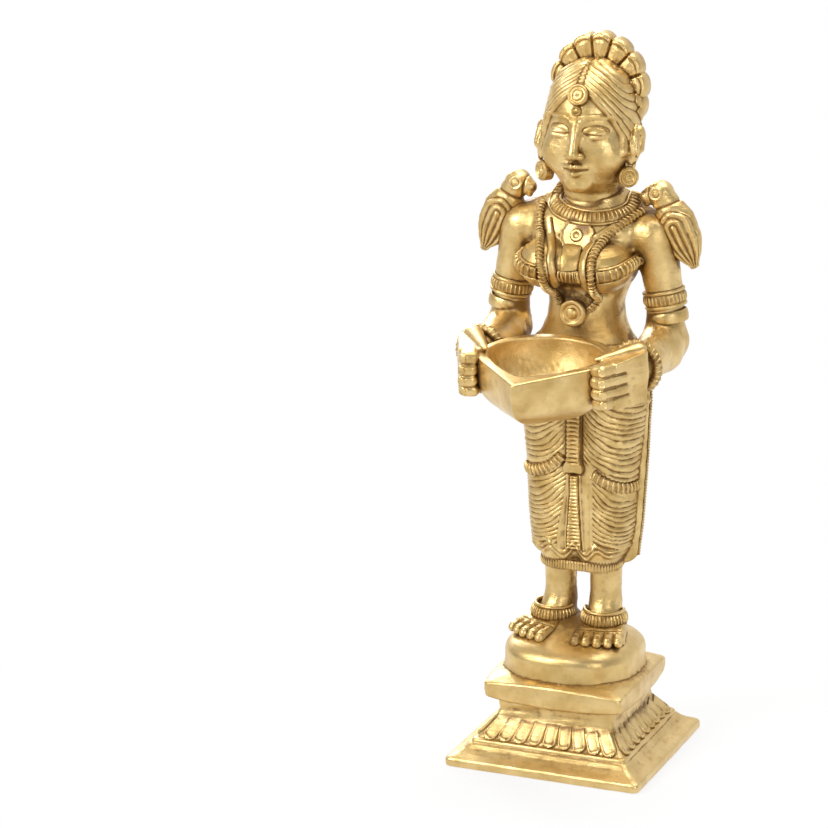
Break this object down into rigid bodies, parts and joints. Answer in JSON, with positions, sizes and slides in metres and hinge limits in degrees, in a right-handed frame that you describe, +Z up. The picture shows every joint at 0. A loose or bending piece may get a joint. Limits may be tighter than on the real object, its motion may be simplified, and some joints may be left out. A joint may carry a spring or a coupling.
{
  "type": "oil lamp figurine",
  "caption": "Cast brass lamp bearer: a draped standing figure on a square lotus pedestal holds a leaf-shaped oil bowl in both hands, with a parrot perched on each shoulder.",
  "frame": {"origin": "centre of the square pedestal's footprint, on the table", "axes": "+Z up, the figure faces -Y, +X is the figure's left"},
  "size_m": [0.0546, 0.0711, 0.1781],
  "materials": {
    "cast_brass": "satin cast brass, brushed bright on the high parts, brown in the recesses",
    "fixing_steel": "plain steel"
  },
  "bodies": {
    "root": {"pedestal": "cast_brass", "tie_stud": "fixing_steel", "tie_washer": "fixing_steel", "tie_nut": "fixing_steel", "plinth": "cast_brass", "left_foot": "cast_brass", "right_foot": "cast_brass", "left_anklet": "cast_brass", "right_anklet": "cast_brass", "skirt": "cast_brass", "torso": "cast_brass", "collar": "cast_brass", "long_chain": "cast_brass", "pendant": "cast_brass", "left_armlet": "cast_brass", "right_armlet": "cast_brass", "left_forearm": "cast_brass", "right_forearm": "cast_brass", "left_bangle": "cast_brass", "right_bangle": "cast_brass", "left_hand": "cast_brass", "right_hand": "cast_brass", "bowl": "cast_brass", "left_parrot": "cast_brass", "right_parrot": "cast_brass", "head": "cast_brass", "hair_garland": "cast_brass", "hair_bun": "cast_brass", "tikka": "cast_brass", "left_earring": "cast_brass", "right_earring": "cast_brass"}
  },
  "joints": []
}
